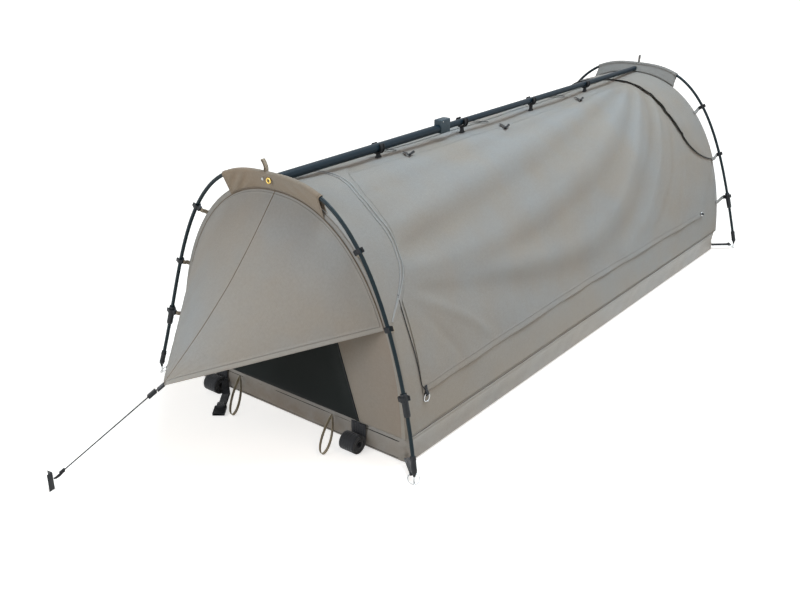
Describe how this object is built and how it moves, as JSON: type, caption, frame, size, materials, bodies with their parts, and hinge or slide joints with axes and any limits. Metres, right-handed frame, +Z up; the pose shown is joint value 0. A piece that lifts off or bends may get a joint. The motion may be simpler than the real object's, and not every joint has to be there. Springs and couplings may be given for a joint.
{
  "type": "swag bedroll",
  "caption": "Canvas tunnel tent sewn to a waterproof tub with a foam mattress, hung by clips from end hoops and a telescopic ridge pole, its door flap pegged out as an awning.",
  "frame": {"origin": "centre of the tub's flat underside, on the ground", "axes": "+X along the tent towards the foot end, +Y to the left of someone who looks in at the door's side from outside along +X, +Z up"},
  "size_m": [2.8725, 1.0304, 0.7445],
  "materials": {
    "canvas": "woven cotton blend canvas, matt",
    "canvas_tan": "tan canvas and tape, matt",
    "tub_fabric": "coated tub fabric, slight sheen",
    "mesh": "fine black insect mesh",
    "foam": "soft foam, matt",
    "ticking": "woven mattress cover, matt",
    "pole": "smooth dark fibreglass rod and fittings",
    "tube": "satin slate-blue coated tube",
    "plastic": "moulded black plastic",
    "clamp_plastic": "moulded blue-grey plastic",
    "webbing": "black webbing",
    "steel": "bright plated steel wire and sheet",
    "rope": "thin braided dark cord"
  },
  "bodies": {
    "shelter": {"awning": "canvas", "canopy": "canvas", "door_mesh": "mesh", "front_clip_left_1": "plastic", "front_clip_left_2": "plastic", "front_clip_left_3": "plastic", "front_clip_right_1": "plastic", "front_clip_right_2": "plastic", "front_clip_right_3": "plastic", "front_hood": "canvas", "front_hoop_crown": "pole", "front_hoop_leg_left": "pole", "front_hoop_leg_right": "pole", "front_sleeve": "canvas_tan", "front_wall": "canvas_tan", "guy_peg": "steel", "guy_rope": "rope", "guy_strap": "webbing", "mattress_cover": "ticking", "mattress_foam": "foam", "rear_clip_left_1": "plastic", "rear_clip_left_2": "plastic", "rear_clip_left_3": "plastic", "rear_clip_right_1": "plastic", "rear_clip_right_2": "plastic", "rear_clip_right_3": "plastic", "rear_hood": "canvas", "rear_hoop_crown": "pole", "rear_hoop_leg_left": "pole", "rear_hoop_leg_right": "pole", "rear_sleeve": "canvas_tan", "rear_wall": "canvas", "ridge_clamp_body": "clamp_plastic", "ridge_clamp_pin": "steel", "ridge_clip_1": "plastic", "ridge_clip_2": "plastic", "ridge_clip_3": "plastic", "ridge_clip_4": "plastic", "ridge_front_cap": "plastic", "ridge_outer_tube": "tube", "roll_strap_left": "webbing", "roll_strap_right": "webbing", "side_fly_left": "canvas", "side_fly_right": "canvas", "strap_buckle": "plastic", "strap_tail": "webbing", "tape_loop_left": "canvas_tan", "tape_loop_right": "canvas_tan", "tub": "tub_fabric"},
    "ridge_inner": {"ridge_inner_tube": "tube", "ridge_rear_cap": "plastic"},
    "clamp_lever": {"ridge_clamp_lever": "clamp_plastic"},
    "ring_front_left": {"corner_ring_front_left": "steel"},
    "ring_front_right": {"corner_ring_front_right": "steel"},
    "ring_rear_left": {"corner_ring_rear_left": "steel"},
    "ring_rear_right": {"corner_ring_rear_right": "steel"},
    "tie_left": {"tie_ring_left": "steel"},
    "tie_right": {"tie_ring_right": "steel"},
    "runner": {"guy_runner": "plastic"}
  },
  "joints": [
    {"name": "ridge_telescope", "type": "slide", "parent": "shelter", "child": "ridge_inner", "axis": [1, 0, 0], "range_m": [-0.55, 0]},
    {"name": "clamp_lever_hinge", "type": "hinge", "parent": "shelter", "child": "clamp_lever", "pos_m": [-0.33867, 0, 0.73875], "axis": [0, -1, 0], "range_deg": [0, 85]},
    {"name": "ring_front_left_hinge", "type": "hinge", "parent": "shelter", "child": "ring_front_left", "pos_m": [-1.11153, 0.48813, 0.02], "axis": [0.7613, 0.6484, 0], "range_deg": [0, 35]},
    {"name": "ring_front_right_hinge", "type": "hinge", "parent": "shelter", "child": "ring_front_right", "pos_m": [-1.11153, -0.48813, 0.02], "axis": [-0.7613, 0.6484, 0], "range_deg": [0, 35]},
    {"name": "ring_rear_left_hinge", "type": "hinge", "parent": "shelter", "child": "ring_rear_left", "pos_m": [1.11568, 0.48851, 0.02], "axis": [0.7432, -0.6691, 0], "range_deg": [0, 35]},
    {"name": "ring_rear_right_hinge", "type": "hinge", "parent": "shelter", "child": "ring_rear_right", "pos_m": [1.11568, -0.48851, 0.02], "axis": [-0.7432, -0.6691, 0], "range_deg": [0, 35]},
    {"name": "tie_left_hinge", "type": "hinge", "parent": "shelter", "child": "tie_left", "pos_m": [-0.97782, 0.43259, 0.17926], "axis": [1, 0, 0], "range_deg": [0, 60]},
    {"name": "tie_right_hinge", "type": "hinge", "parent": "shelter", "child": "tie_right", "pos_m": [-0.97782, -0.43259, 0.17926], "axis": [-1, 0, 0], "range_deg": [0, 60]},
    {"name": "runner_slide", "type": "slide", "parent": "shelter", "child": "runner", "axis": [-0.6414, 0.4593, -0.6145], "range_m": [0, 0.15]}
  ]
}
